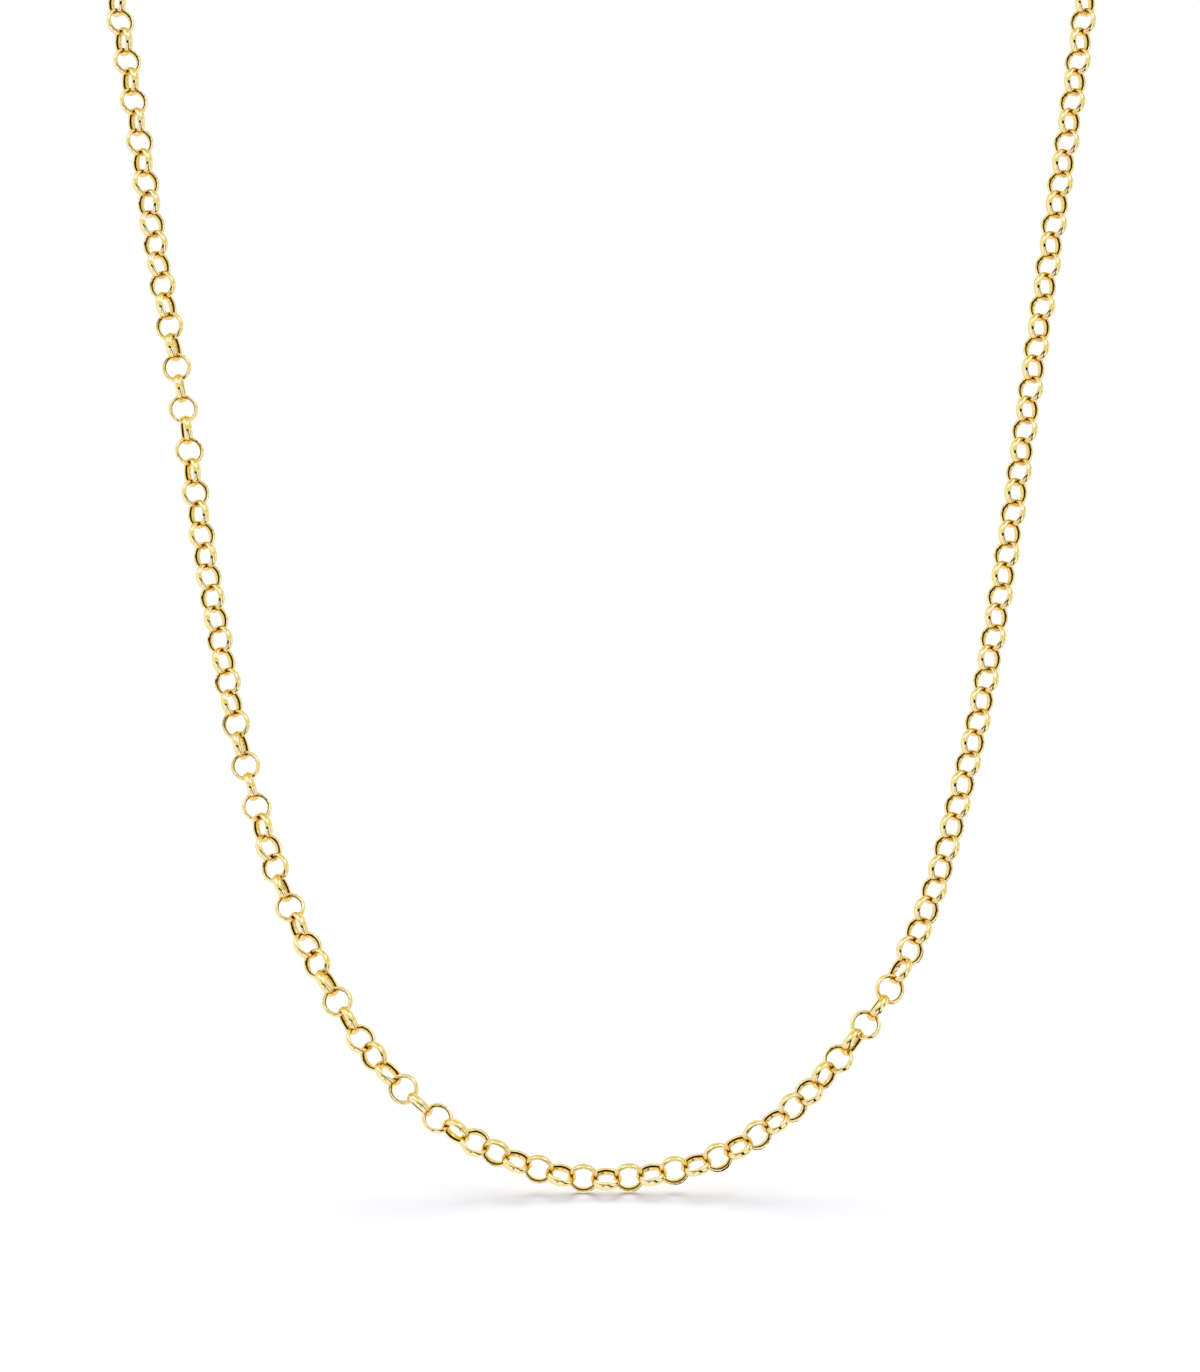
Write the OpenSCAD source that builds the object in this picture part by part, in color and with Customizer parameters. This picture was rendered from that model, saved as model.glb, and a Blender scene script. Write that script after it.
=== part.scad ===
// Rolo chain necklace: round links of domed gold wire, closed at the nape by a plain ring clasp.
// Millimetres. The origin is on the chain at the nape, +Z is up and the front faces -Y.

/* [Chain] */
// Length of the whole loop
loop_len = 500; // [450:5:550]
// Least clear distance between a link and the next one
link_gap = 0.14; // [0.14:0.01:0.18]

/* [Link] */
// Outer diameter of a link
link_d = 3; // [2.8:0.1:3.6]
// Width of the wire, along the link's axis
wire_w = 0.84; // [0.76:0.02:0.96]
// Thickness of the wire at its middle
wire_t = 0.34; // [0.33:0.01:0.4]
// Height of the dome on the wire's outer face
dome_rise = 0.17; // [0.12:0.01:0.18]
// Height of the crown on its inner face
crown_rise = 0.15; // [0.13:0.01:0.16]

/* [Clasp] */
// Outer diameter of the clasp's ring
clasp_d = 6; // [5:0.25:8]
// Wire diameter of the clasp's ring
clasp_wire = 1.1; // [0.9:0.05:1.3]
// Bore of the clasp's small eye
eye_bore = 2; // [1.8:0.1:2.4]
// Distance between the clasp's ring and the bore of the eye
eye_clear = 0.2; // [0.15:0.05:0.25]
// Wire diameter of the eye
eye_wire = 0.6; // [0.5:0.05:0.8]

/* [End ring] */
// Outer diameter of the jump ring that the clasp hooks
end_ring_d = 4; // [3.6:0.1:5]
// Wire diameter of the jump ring
end_ring_wire = 0.7; // [0.5:0.05:0.9]

/* [Hidden] */
$fn = 36;
gold = "#d8a33c";

// The closed route of the loop as [x, y, z], from the bottom of the U up the +X strand,
// round the nape and down the -X strand.
route = [
    [-0.5, -113.5, -132],
    [10, -113, -130.5],
    [17.5, -111, -126.5],
    [23.5, -108, -121],
    [28.5, -104.5, -115],
    [32.5, -101, -107],
    [35.5, -97.5, -97.5],
    [38, -94, -88],
    [41, -88.5, -73],
    [43.5, -83.5, -58.5],
    [46, -79, -43.5],
    [48.5, -75, -28.5],
    [50.5, -70, -15],
    [51.5, -61, -5],
    [51.5, -49, 0],
    [48, -34, 1],
    [40, -18, 1],
    [27.5, -6, 0.5],
    [10, -0.5, 0],
    [-10, -0.5, 0],
    [-27.5, -6, 0.5],
    [-40, -18, 1],
    [-48, -34, 1],
    [-51.5, -49, 0],
    [-51.5, -61, -5],
    [-50.5, -70, -15],
    [-48, -75, -28],
    [-45.5, -79, -42.5],
    [-42.5, -83.5, -58],
    [-40, -87.5, -73],
    [-37, -92, -88],
    [-34.5, -95.5, -97.5],
    [-31, -100, -107],
    [-27, -104.5, -114],
    [-22.5, -108, -120.5],
    [-16.5, -111, -126],
    [-9, -113, -130]
];

// How far the facing of an untwisted link leans back, in degrees
front_lean = 16;

// Twist of the chain as [share of the loop in percent, degrees]. The share counts from the
// bottom of the U and is positive up the +X strand.
twist = [
    [-25, 415],
    [-21, 375],
    [-16.5, 310],
    [-13, 290],
    [-11, 260],
    [-4, 0],
    [-1.5, -60],
    [4, -60],
    [8.5, 35],
    [26, 40]
];

bore_r = link_d / 2 - wire_t;
// Radius of an arc as wide as the wire that stands rise above its ends
function arc_r(rise) = (wire_w * wire_w / 4 + rise * rise) / (2 * rise);
dome_r = arc_r(dome_rise);
crown_r = arc_r(crown_rise);

clasp_bore_r = clasp_d / 2 - clasp_wire;
end_ring_bore_r = end_ring_d / 2 - end_ring_wire;
eye_bore_r = eye_bore / 2;

// The distances between the centres along the closure, from the +X end of the chain
end_ring_step = bore_r + end_ring_bore_r - link_gap;
clasp_step = end_ring_bore_r + clasp_bore_r - link_gap;
eye_step = clasp_d / 2 + eye_clear + eye_bore_r;
last_step = eye_bore_r + bore_r - link_gap;
closure_len = end_ring_step + clasp_step + eye_step + last_step;

// As many links as keep the chain clear of being overstretched, the same number on each side
side_links = ceil(((loop_len - closure_len) / (2 * bore_r - link_gap) + 1) / 2);
pitch = (loop_len - closure_len) / (2 * side_links - 1);

// The route as a smooth closed curve, measured and scaled to the loop's length
steps = 12;
function knot(i) = route[(i + len(route)) % len(route)];
function curve(a, b, c, d, t) =
    0.5 * (2 * b + (c - a) * t + (2 * a - 5 * b + 4 * c - d) * t * t + (3 * b - 3 * c + d - a) * t * t * t);
raw = [
    for (i = [0 : len(route)], j = [0 : steps - 1])
        if (i < len(route) || j == 0) curve(knot(i - 1), knot(i), knot(i + 1), knot(i + 2), j / steps)
];
raw_len = [for (i = 0, s = 0; i < len(raw); i = i + 1, s = s + norm(raw[i % len(raw)] - raw[i - 1])) s];
fit = loop_len / raw_len[len(raw) - 1];
path = [for (axis = [0 : 2]) [for (i = [0 : len(raw) - 1]) [raw_len[i] * fit, raw[i][axis] * fit]]];

// A place on the loop, s millimetres from the bottom of the U
function place(s) =
    let (along = s < 0 ? s + loop_len : s)
    [for (axis = [0 : 2]) lookup(along, path[axis])];
function unit(v) = v / norm(v);
function direction(s) = unit(place(s + pitch / 2) - place(s - pitch / 2));
// The part of v that is square to t
function square_to(v, t) = unit(v - (v * t) * t);

// The facing of each link from the bottom of the U outwards, carried along without twist
front = [0, -cos(front_lean), sin(front_lean)];
function facings(side) = [
    for (i = 0, v = square_to(front, direction(side * pitch / 2));
        i <= side_links;
        i = i + 1, v = square_to(v, direction(side * (i + 0.5) * pitch)))
        v
];
facing_right = facings(1);
facing_left = facings(-1);

// At the nape the last links come round square to the clasp, whichever number of links there is.
function quarter(links) = 90 * (links % 2);
full_twist = concat([[-50, 360 + quarter(side_links + 1)]], twist, [[50, quarter(side_links)]]);

// Stands a ring at s, with its axis turned by turn degrees from the facing
module ring_at(s, facing, turn) {
    t = direction(s);
    v = square_to(facing, t);
    axis = cos(turn) * v - sin(turn) * cross(v, t);
    side = cross(axis, t);
    centre = place(s);
    multmatrix([for (k = [0 : 2]) [t[k], side[k], axis[k], centre[k]]])
        children();
}

module link() {
    rotate_extrude()
        intersection() {
            translate([link_d / 2 - dome_r, 0])
                circle(dome_r);
            translate([bore_r + crown_r, 0])
                circle(crown_r);
            translate([0, -wire_w / 2])
                square([link_d, wire_w]);
        }
}

module torus(bore, wire) {
    rotate_extrude()
        translate([(bore + wire) / 2, 0])
            circle(d = wire);
}

module chain(side, facing) {
    for (i = [0 : side_links - 1]) {
        s = side * (i + 0.5) * pitch;
        number = side > 0 ? i : -1 - i;
        ring_at(s, facing[i], lookup(100 * s / loop_len, full_twist) + 90 * number)
            link();
    }
}

module chain_left() {
    color(gold)
        chain(-1, facing_left);
}

module chain_right() {
    color(gold)
        chain(1, facing_right);
}

// The closure's pieces stand between the last links, and the clasp lies flat on the neck.
nape_facing = facing_right[side_links];
end_ring_s = (side_links - 0.5) * pitch + end_ring_step;
clasp_s = end_ring_s + clasp_step;

module clasp() {
    color(gold)
        ring_at(clasp_s, nape_facing, 90) {
            union() {
                torus(2 * clasp_bore_r, clasp_wire);
                translate([eye_step, 0, 0])
                    rotate([90, 0, 0])
                        torus(eye_bore, eye_wire);
            }
        }
}

module end_ring() {
    color(gold)
        ring_at(end_ring_s, nape_facing, 0)
            torus(2 * end_ring_bore_r, end_ring_wire);
}

chain_left();
chain_right();
clasp();
end_ring();
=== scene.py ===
import math

import bmesh
import bpy
import numpy as np
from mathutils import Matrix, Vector


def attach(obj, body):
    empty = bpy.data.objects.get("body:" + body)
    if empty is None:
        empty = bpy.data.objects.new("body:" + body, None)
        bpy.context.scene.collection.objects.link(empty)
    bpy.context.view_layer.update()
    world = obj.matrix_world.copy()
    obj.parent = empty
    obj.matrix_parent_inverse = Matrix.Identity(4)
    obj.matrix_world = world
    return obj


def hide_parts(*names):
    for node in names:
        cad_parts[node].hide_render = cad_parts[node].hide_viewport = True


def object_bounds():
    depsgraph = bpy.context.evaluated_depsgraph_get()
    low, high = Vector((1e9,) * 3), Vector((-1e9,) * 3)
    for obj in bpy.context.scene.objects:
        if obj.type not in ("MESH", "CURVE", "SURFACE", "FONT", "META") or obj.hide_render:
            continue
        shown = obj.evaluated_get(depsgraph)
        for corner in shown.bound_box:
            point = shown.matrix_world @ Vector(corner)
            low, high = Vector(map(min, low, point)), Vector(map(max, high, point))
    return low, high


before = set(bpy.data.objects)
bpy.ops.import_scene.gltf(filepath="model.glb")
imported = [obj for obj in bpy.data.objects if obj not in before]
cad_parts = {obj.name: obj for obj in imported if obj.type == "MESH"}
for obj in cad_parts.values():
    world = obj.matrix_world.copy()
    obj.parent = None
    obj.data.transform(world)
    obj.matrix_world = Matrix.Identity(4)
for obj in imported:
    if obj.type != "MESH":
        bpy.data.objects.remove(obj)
cadLow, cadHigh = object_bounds()
mm = 0.001
print("frame loaded:", sorted(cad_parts))

# The camera stands at the photograph's angle, a little above the front of the U
cameraView = {
    "target": Vector((0, -90.38, -87.88)) * mm,
    "distance": 320 * mm,
    "elevation": 8,
    "lens": 96,
    "sensorWidth": 36,
    "clipStart": 10 * mm,
}
cameraRise = math.radians(cameraView["elevation"])
towardsCamera = Vector((0, -math.cos(cameraRise), math.sin(cameraRise)))
cameraPlace = cameraView["target"] + towardsCamera * cameraView["distance"]


# A socket of a node tree, with the maths that a script wants to write on it.
class Field:
    def __init__(self, tree, socket=None):
        self.tree = tree
        self.socket = socket

    def add(self, kind, settings=None, inputs=None, output=0):
        # The settings are the node's own properties, and stops those of its colour ramp
        node = self.tree.nodes.new(kind)
        for name, value in (settings or {}).items():
            if name == "stops":
                setStops(node.color_ramp, value)
            else:
                setattr(node, name, value)
        for key, value in (inputs or {}).items():
            if isinstance(value, Field):
                self.tree.links.new(value.socket, node.inputs[key])
            else:
                node.inputs[key].default_value = value
        return Field(self.tree, node.outputs[output])

    def sibling(self, output):
        # Another output of the same node
        return Field(self.tree, self.socket.node.outputs[output])

    def maths(self, operation, *values):
        return self.add("ShaderNodeMath", {"operation": operation}, dict(enumerate(values)))

    def __add__(self, other):
        return self.maths("ADD", self, other)

    def __sub__(self, other):
        return self.maths("SUBTRACT", self, other)

    def __rsub__(self, other):
        return self.maths("SUBTRACT", other, self)

    def __mul__(self, other):
        return self.maths("MULTIPLY", self, other)

    def __truediv__(self, other):
        return self.maths("DIVIDE", self, other)

    def __pow__(self, other):
        return self.maths("POWER", self, other)

    def __abs__(self):
        return self.maths("ABSOLUTE", self)


def setStops(ramp, stops):
    while len(ramp.elements) < len(stops):
        ramp.elements.new(1.0)
    for element, (place, colour) in zip(ramp.elements, stops):
        element.position = place
        element.color = colour


# Polished gold. Its yellow turns to honey in the bore, which is painted shade, and to amber where
# two links meet, which is a painted reflection of the next link with a little polishing dirt. It
# goes a little to pale from link to link, and a thin brown line, a painted dark reflection, runs
# along the inner corner on the front side.
goldLook = {
    "yellow": (0.97, 0.83, 0.24, 1),
    "honey": (0.96, 0.73, 0.15, 1),
    "amber": (0.97, 0.58, 0.08, 1),
    "pale": (0.97, 0.83, 0.50, 1),
    # The brown of a painted dark reflection along the inner corner
    "brown": (0.035, 0.010, 0.0005, 1),
    # Painted shade: the bore's inner face turns to honey and gives up part of its metal
    "innerFace": [  # by depth in the wire, from its outer face to its bore
        (0.84, (0, 0, 0, 1)),
        (0.9, (1, 1, 1, 1)),
    ],
    "paintedReflectionLine": [  # by depth too
        (0.78, (0, 0, 0, 1)),
        (0.83, (0.35, 0.35, 0.35, 1)),
        (0.845, (1, 1, 1, 1)),
        (0.92, (1, 1, 1, 1)),
        (0.95, (0, 0, 0, 1)),
    ],
    # Amber painted where links meet stands for light reflected from the next link, with a little
    # polishing dirt
    "amberShare": 0.75,
    "paleShare": 0.2,
    "boreShadeDullness": 0.25,
    "edgeTint": (1.0, 0.95, 0.58, 1),
    "roughness": 0.03,
    "roughnessSpread": 0.03,
    "hammerSize": 0.9 * mm,
    "hammerDepth": 0.010 * mm,
    "hammerDetail": 1.0,
    "scratchSize": 0.12 * mm,
    "scratchDetail": 3.0,
}


def makeGold():
    material = bpy.data.materials.new("polishedGold")
    material.use_nodes = True
    tree = material.node_tree
    shader = tree.nodes["Principled BSDF"]
    start = Field(tree)
    place = start.add("ShaderNodeTexCoord", output="Object")
    meeting, depth, front, tone = (
        start.add("ShaderNodeAttribute", {"attribute_name": name}, output="Fac")
        for name in ("meeting", "depth", "front", "tone")
    )
    waves = start.add(
        "ShaderNodeTexNoise",
        inputs={
            "Vector": place,
            "Scale": 1 / goldLook["hammerSize"],
            "Detail": goldLook["hammerDetail"],
        },
    )
    scratches = start.add(
        "ShaderNodeTexNoise",
        inputs={
            "Vector": place,
            "Scale": 1 / goldLook["scratchSize"],
            "Detail": goldLook["scratchDetail"],
        },
    )
    # The painted dark reflection line, on the front side of each link only
    line = start.add("ShaderNodeValToRGB", {"stops": goldLook["paintedReflectionLine"]}, {"Fac": depth})
    line = line * start.maths("GREATER_THAN", front, 0.0)
    # The painted shade of the bore, by depth in the wire
    inner = start.add("ShaderNodeValToRGB", {"stops": goldLook["innerFace"]}, {"Fac": depth})
    colour = goldLook["yellow"]
    washes = (
        (inner, "honey"),
        # painted reflection of the next link, with a little dirt, where two links meet
        (meeting * goldLook["amberShare"], "amber"),
        (tone * goldLook["paleShare"], "pale"),
        (line, "brown"),
    )
    for share, other in washes:
        colour = start.add(
            "ShaderNodeMix",
            {"data_type": "RGBA"},
            {"Factor": share, 6: colour, 7: goldLook[other]},
            output=2,
        )
    # The painted line has no metal, and the bore's painted shade has less
    metallic = (1 - line) * (1 - inner * goldLook["boreShadeDullness"])
    smoothest = goldLook["roughness"] - goldLook["roughnessSpread"] / 2
    rough = scratches * goldLook["roughnessSpread"] + smoothest
    bump = start.add(
        "ShaderNodeBump",
        inputs={"Strength": 1.0, "Distance": goldLook["hammerDepth"], "Height": waves},
        output="Normal",
    )
    tree.links.new(colour.socket, shader.inputs["Base Color"])
    tree.links.new(metallic.socket, shader.inputs["Metallic"])
    tree.links.new(rough.socket, shader.inputs["Roughness"])
    tree.links.new(bump.socket, shader.inputs["Normal"])
    shader.inputs["Specular IOR Level"].default_value = 0.0
    shader.inputs["Specular Tint"].default_value = goldLook["edgeTint"]
    return material


gold = makeGold()

# The links of both strands
linkSizes = {
    "Outer Diameter": 3.04 * mm,
    "Wire Thickness": 0.42 * mm,
    "Wire Width": 0.84 * mm,
    "Sides": 16,
    "Wire Sides": 6,
    "Shoulder Drop": 0.09,
    "Inner Taper": 0.5,
    "Meeting Sharpness": 4.0,
    "Seed": 4,
}
weldDistance = 0.0001 * mm


def findLinks(name):
    # The centre of each loose ring in a CAD node, and its axis, which points to the camera's side
    merged = bmesh.new()
    merged.from_mesh(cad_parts[name].data)
    bmesh.ops.remove_doubles(merged, verts=merged.verts, dist=weldDistance)
    merged.verts.ensure_lookup_table()
    seen = set()
    rings = []
    for first in merged.verts:
        if first.index in seen:
            continue
        seen.add(first.index)
        group = [first]
        for vert in group:
            for edge in vert.link_edges:
                other = edge.other_vert(vert)
                if other.index not in seen:
                    seen.add(other.index)
                    group.append(other)
        points = np.array([vert.co for vert in group])
        centre = (points.min(axis=0) + points.max(axis=0)) / 2
        directions = np.linalg.eigh(np.cov((points - points.mean(axis=0)).T))[1]
        axis = directions[:, 0]  # the direction in which the ring is thinnest
        # The side towards the camera is the one that gets the painted dark line
        rings.append((centre, axis if np.dot(axis, cameraPlace - Vector(centre)) > 0 else -axis))
    merged.free()
    return rings


def alongDirections(centres):
    # Each link lies along the line between its two nearest neighbours
    result = []
    for centre in centres:
        order = np.argsort(np.linalg.norm(centres - centre, axis=1))
        before, after = centres[order[1]], centres[order[2]]
        if np.dot(before - centre, after - centre) > 0:  # the last link has one neighbour
            after = centre
        step = after - before
        result.append(step / np.linalg.norm(step))
    return result


def makeLinkTree():
    tree = bpy.data.node_groups.new("chainLinks", "GeometryNodeTree")
    sockets = {
        "Points": "NodeSocketGeometry",
        "Outer Diameter": "NodeSocketFloat",
        "Wire Thickness": "NodeSocketFloat",
        "Wire Width": "NodeSocketFloat",
        "Sides": "NodeSocketInt",
        "Wire Sides": "NodeSocketInt",
        "Shoulder Drop": "NodeSocketFloat",
        "Inner Taper": "NodeSocketFloat",
        "Meeting Sharpness": "NodeSocketFloat",
        "Seed": "NodeSocketInt",
        "Gold": "NodeSocketMaterial",
    }
    for name, kind in sockets.items():
        tree.interface.new_socket(name, in_out="INPUT", socket_type=kind)
    tree.interface.new_socket("Links", in_out="OUTPUT", socket_type="NodeSocketGeometry")
    inputs = tree.nodes.new("NodeGroupInput")
    given = {name: Field(tree, inputs.outputs[name]) for name in sockets}
    start = Field(tree)

    # The wire's section, domed outside and narrower and flatter inside
    circle = start.add(
        "GeometryNodeCurvePrimitiveCircle",
        {"mode": "RADIUS"},
        {"Resolution": given["Wire Sides"], "Radius": 0.5},
    )
    place = start.add("GeometryNodeInputPosition")  # of the section here and of the ring below
    x = start.add("ShaderNodeSeparateXYZ", inputs={"Vector": place})
    y, z = x.sibling("Y"), x.sibling("Z")
    widest = 0.5 * math.sin(math.radians(60))  # y of a wire with six sides
    taper = x * given["Inner Taper"] + 1 - given["Inner Taper"] / 4
    shape = start.add(
        "ShaderNodeCombineXYZ",
        inputs={
            "X": (x - given["Shoulder Drop"] * (y / widest) ** 2) * given["Wire Thickness"],
            "Y": y * taper * given["Wire Width"] * (0.5 / widest),
        },
    )
    section = start.add("GeometryNodeSetPosition", inputs={"Geometry": circle, "Position": shape})

    # The wire bent round to a ring
    ringRadius = (given["Outer Diameter"] - given["Wire Thickness"]) * 0.5
    ring = start.add(
        "GeometryNodeCurvePrimitiveCircle",
        {"mode": "RADIUS"},
        {"Resolution": given["Sides"], "Radius": ringRadius},
    )
    ring = start.add("GeometryNodeSetCurveNormal", {"mode": "Z_UP"}, {"Curve": ring})
    link = start.add("GeometryNodeCurveToMesh", inputs={"Curve": ring, "Profile Curve": section})
    link = start.add("GeometryNodeSetShadeSmooth", inputs={"Geometry": link})

    # How near a point is to a neighbouring link, how deep in the wire and how far to the front,
    # which place the painted shade, reflection and line on the gold
    radius = (x * x + y * y) ** 0.5
    meeting = (abs(x) / radius) ** given["Meeting Sharpness"]
    depth = (ringRadius - radius) / given["Wire Thickness"] + 0.5
    front = z / given["Wire Width"]
    for label, value in (("meeting", meeting), ("depth", depth), ("front", front)):
        link = start.add(
            "GeometryNodeStoreNamedAttribute",
            {"data_type": "FLOAT", "domain": "POINT"},
            {"Geometry": link, "Name": label, "Value": value},
        )

    # One link on each point, turned as the CAD link there
    axis, along = (
        start.add("GeometryNodeInputNamedAttribute", {"data_type": "FLOAT_VECTOR"}, {"Name": name})
        for name in ("axis", "along")
    )
    turn = start.add(
        "FunctionNodeAxesToRotation",
        {"primary_axis": "Z", "secondary_axis": "X"},
        {"Primary Axis": axis, "Secondary Axis": along},
    )
    links = start.add(
        "GeometryNodeInstanceOnPoints",
        inputs={"Points": given["Points"], "Instance": link, "Rotation": turn},
    )
    tone = start.add(
        "FunctionNodeRandomValue",
        {"data_type": "FLOAT"},
        {"Seed": given["Seed"]},
        output=1,
    )
    links = start.add(
        "GeometryNodeStoreNamedAttribute",
        {"data_type": "FLOAT", "domain": "INSTANCE"},
        {"Geometry": links, "Name": "tone", "Value": tone},
    )
    links = start.add("GeometryNodeRealizeInstances", inputs={"Geometry": links})
    links = start.add(
        "GeometryNodeSetMaterial", inputs={"Geometry": links, "Material": given["Gold"]}
    )
    output = tree.nodes.new("NodeGroupOutput")
    tree.links.new(links.socket, output.inputs["Links"])
    return tree


def makeStrand(name, node, centres, axes, alongs):
    mesh = bpy.data.meshes.new(name)
    mesh.from_pydata([Vector(centre) for centre in centres], [], [])
    for label, vectors in (("axis", axes), ("along", alongs)):
        attribute = mesh.attributes.new(label, "FLOAT_VECTOR", "POINT")
        attribute.data.foreach_set("vector", np.array(vectors, np.float32).ravel())
    strand = bpy.data.objects.new(name, mesh)
    bpy.context.scene.collection.objects.link(strand)
    modifier = strand.modifiers.new("chainLinks", "NODES")
    modifier.node_group = linkTree
    for item in linkTree.interface.items_tree:
        if item.item_type == "SOCKET" and item.name in linkSizes:
            modifier[item.identifier] = linkSizes[item.name]
        if item.item_type == "SOCKET" and item.name == "Gold":
            modifier[item.identifier] = gold
    depsgraph = bpy.context.evaluated_depsgraph_get()
    plain = bpy.data.meshes.new_from_object(
        strand.evaluated_get(depsgraph), preserve_all_data_layers=True, depsgraph=depsgraph
    )
    strand.modifiers.remove(modifier)
    strand.data = plain
    bpy.data.meshes.remove(mesh)
    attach(strand, "root")
    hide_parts(node)
    return strand


linkTree = makeLinkTree()
found = {node: findLinks(node) for node in ("chain_left", "chain_right")}
allCentres = np.array([centre for rings in found.values() for centre, axis in rings])
allAlongs = alongDirections(allCentres)
done = 0
for name, node in (("linksLeft", "chain_left"), ("linksRight", "chain_right")):
    count = len(found[node])
    strand = makeStrand(
        name,
        node,
        allCentres[done : done + count],
        [axis for centre, axis in found[node]],
        allAlongs[done : done + count],
    )
    done += count
    print(name, "has", count, "links and", len(strand.data.polygons), "faces")

# The closure keeps its CAD shape
for node in ("clasp", "end_ring"):
    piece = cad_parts[node]
    for materialSlot in piece.material_slots:
        materialSlot.material = gold
print("closure dressed")

# Studio: a pale floor in a white tent that is open on the camera's side
studio = {
    "floorGap": 0.04 * mm,
    "floorSize": 4.0,
    "floorColour": (0.88, 0.88, 0.88, 1),
    "floorRoughness": 0.9,
    "backdropLight": 1.05,
    "floorLight": 0.6,
    "lamps": {  # strength, lean back from straight above and softness in degrees
        "shadowLamp": (1.3, 44, 34),
        "topLamp": (1.0, 18, 80),
    },
}


def makeFloor():
    half = studio["floorSize"] / 2
    height = cadLow.z - studio["floorGap"]
    mesh = bpy.data.meshes.new("floor")
    corners = [(-half, -half), (half, -half), (half, half), (-half, half)]
    mesh.from_pydata([(x, y, height) for x, y in corners], [], [(0, 1, 2, 3)])
    floor = bpy.data.objects.new("floor", mesh)
    bpy.context.scene.collection.objects.link(floor)
    material = bpy.data.materials.new("paleFloor")
    material.use_nodes = True
    shader = material.node_tree.nodes["Principled BSDF"]
    shader.inputs["Base Color"].default_value = studio["floorColour"]
    shader.inputs["Roughness"].default_value = studio["floorRoughness"]
    shader.inputs["Specular IOR Level"].default_value = 0.0
    mesh.materials.append(material)
    floor.visible_glossy = False


# The tent's panels, painted one over the other on its walls, and the back between the light ones
# and the dark ones. A panel is given by how far its centre lies to the right of the camera's axis
# and above it, by its half width and half height, its turn and the width of its soft edge, all in
# degrees as the necklace sees them, and by its brightness.
wallBrightness = 1.0
lightPanels = {
    "roof": (-4, 96, 84, 92, 0, 7, 1.05),
    "zenith": (-4, 122, 84, 60, 0, 40, 0.74),
    "softboxLeft": (-42, 58, 15, 20, 15, 8, 1.3),
    "softboxRight": (38, 58, 15, 20, -15, 8, 1.3),
    "haze": (0, 20, 80, 17, 0, 14, 0.82),
    "roofRight": (84, 44, 17, 26, 20, 14, 0.68),
}
tentBack = {"from": 125, "soft": 20, "brightness": 0.92}  # from and soft in degrees off the axis
darkPanels = {
    "opening": (-8, -5, 36, 9, 0, 3, 0.02),
    "drop": (32, -40, 10, 32, 28, 3, 0.02),
    "leftCard": (-20, -40, 5, 22, -24, 3, 0.12),
    "rightCard": (88, -22, 8, 24, 14, 3, 0.12),
    "tableEdge": (54, -74, 38, 8, 6, 3, 0.02),
}
lightColours = [  # by brightness: dim light is warm and strong light is cool
    (0.0, (0.0, 0.0, 0.0)),
    (0.1, (0.12, 0.045, 0.005)),
    (0.25, (0.28, 0.15, 0.04)),
    (0.4, (0.43, 0.28, 0.12)),
    (0.65, (0.67, 0.53, 0.34)),
    (0.8, (0.82, 0.75, 0.66)),
    (0.95, (0.94, 0.96, 1.4)),
    (1.05, (1.04, 1.08, 2.7)),
    (1.3, (1.3, 1.38, 3.6)),
]
brightest = 3.6  # a ramp holds numbers up to 1, so brightness and colour go in as shares of this


def softEdge(start, value, half, soft):
    # 1 inside of the half width, 0 outside, with a soft step between
    return start.add(
        "ShaderNodeMapRange",
        {"interpolation_type": "SMOOTHSTEP"},
        {
            "Value": value,
            "From Min": half - soft / 2,
            "From Max": half + soft / 2,
            "To Min": 1.0,
            "To Max": 0.0,
        },
    )


def paintOver(light, mask, brightness):
    return mask * brightness + (1 - mask) * light


def paintPanels(start, right, up, panels, light):
    for panelRight, panelUp, halfWidth, halfHeight, turn, soft, brightness in panels.values():
        sine, cosine = math.sin(math.radians(turn)), math.cos(math.radians(turn))
        across = (right - panelRight) * cosine + (up - panelUp) * sine
        along = (up - panelUp) * cosine - (right - panelRight) * sine
        mask = softEdge(start, abs(across), halfWidth, soft)
        mask = mask * softEdge(start, abs(along), halfHeight, soft)
        light = paintOver(light, mask, brightness)
    return light


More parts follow.
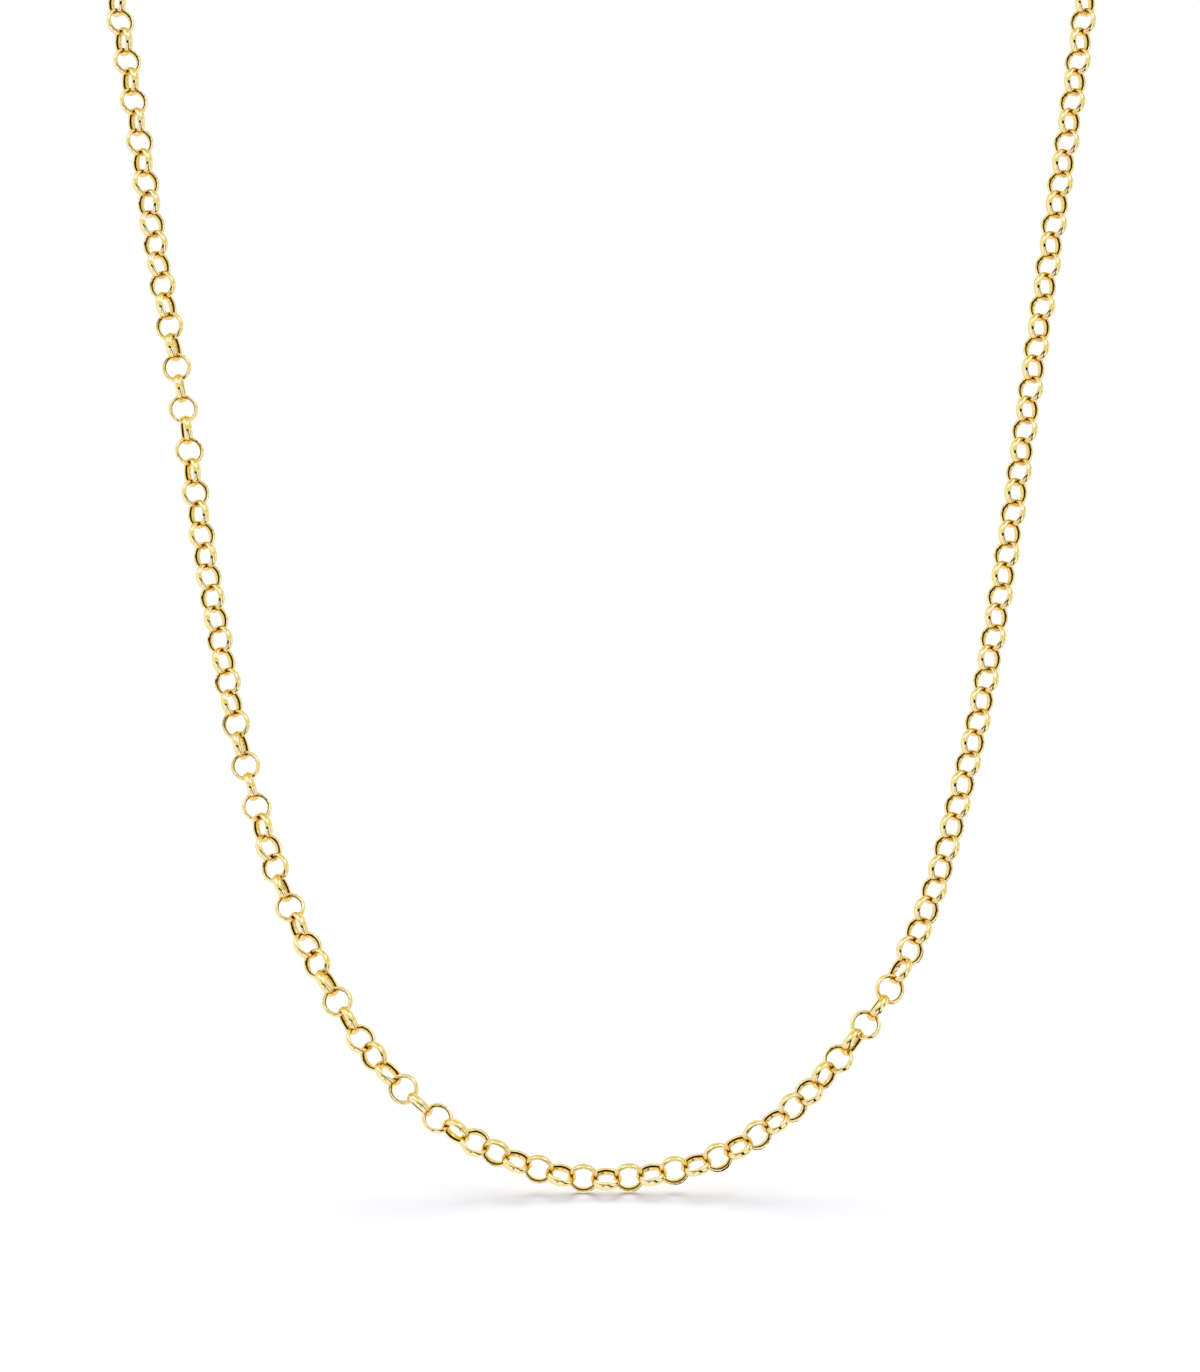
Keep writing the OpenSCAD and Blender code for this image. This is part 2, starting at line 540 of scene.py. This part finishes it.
def makeTent():
    world = bpy.data.worlds.new("tent")
    bpy.context.scene.world = world
    world.use_nodes = True
    tree = world.node_tree
    start = Field(tree)
    direction = start.add("ShaderNodeTexCoord", output="Generated")
    x = start.add("ShaderNodeSeparateXYZ", inputs={"Vector": direction})
    y, z = x.sibling("Y"), x.sibling("Z")

    # How far each direction lies to the right of the camera's axis and above it, in degrees. Just
    # off the axis is near enough where the angle or its scale would have no value.
    nearlyOne, nearlyNone = 0.99999, 0.000001
    ahead = y * towardsCamera.y + z * towardsCamera.z
    rise = z * -towardsCamera.y + y * towardsCamera.z
    away = start.maths("ARCCOSINE", start.maths("MINIMUM", ahead, nearlyOne)) * math.degrees(1)
    scale = away / (x * x + rise * rise + nearlyNone) ** 0.5
    right = x * scale
    up = rise * scale

    light = paintPanels(start, right, up, lightPanels, wallBrightness)
    backMask = 1 - softEdge(start, away, tentBack["from"], tentBack["soft"])
    light = paintOver(light, backMask, tentBack["brightness"])
    light = paintPanels(start, right, up, darkPanels, light)
    stops = [
        (key / brightest, [part / brightest for part in colour] + [1])
        for key, colour in lightColours
    ]
    light = start.add("ShaderNodeValToRGB", {"stops": stops}, {"Fac": light / brightest})

    # The camera sees a plain backdrop, and the floor is lit by a plain one
    fromCamera = start.add("ShaderNodeLightPath", output="Is Camera Ray")
    fromFloor = fromCamera.sibling("Is Diffuse Ray")
    plain = ((fromCamera, studio["backdropLight"]), (fromFloor, studio["floorLight"]))
    for seen, level in plain:
        light = start.add(
            "ShaderNodeMix",
            {"data_type": "RGBA"},
            {"Factor": seen, 6: light, 7: [level / brightest] * 3 + [1]},
            output=2,
        )
    background = tree.nodes["Background"]
    tree.links.new(light.socket, background.inputs["Color"])
    background.inputs["Strength"].default_value = brightest


def makeLamps():
    for name, (strength, lean, softness) in studio["lamps"].items():
        sun = bpy.data.lights.new(name, "SUN")
        sun.energy = strength
        sun.angle = math.radians(softness)
        lamp = bpy.data.objects.new(name, sun)
        lamp.rotation_euler = (-math.radians(lean), 0, 0)
        lamp.visible_glossy = False
        bpy.context.scene.collection.objects.link(lamp)


def makeCamera():
    camera = bpy.data.cameras.new("camera")
    camera.lens = cameraView["lens"]
    camera.sensor_width = cameraView["sensorWidth"]
    camera.sensor_fit = "HORIZONTAL"
    camera.clip_start = cameraView["clipStart"]
    holder = bpy.data.objects.new("camera", camera)
    holder.location = cameraPlace
    holder.rotation_euler = (-towardsCamera).to_track_quat("-Z", "Y").to_euler()
    bpy.context.scene.collection.objects.link(holder)
    bpy.context.scene.camera = holder


makeFloor()
makeTent()
makeLamps()
makeCamera()
bpy.context.scene.view_settings.view_transform = "Standard"
print("studio and camera set")
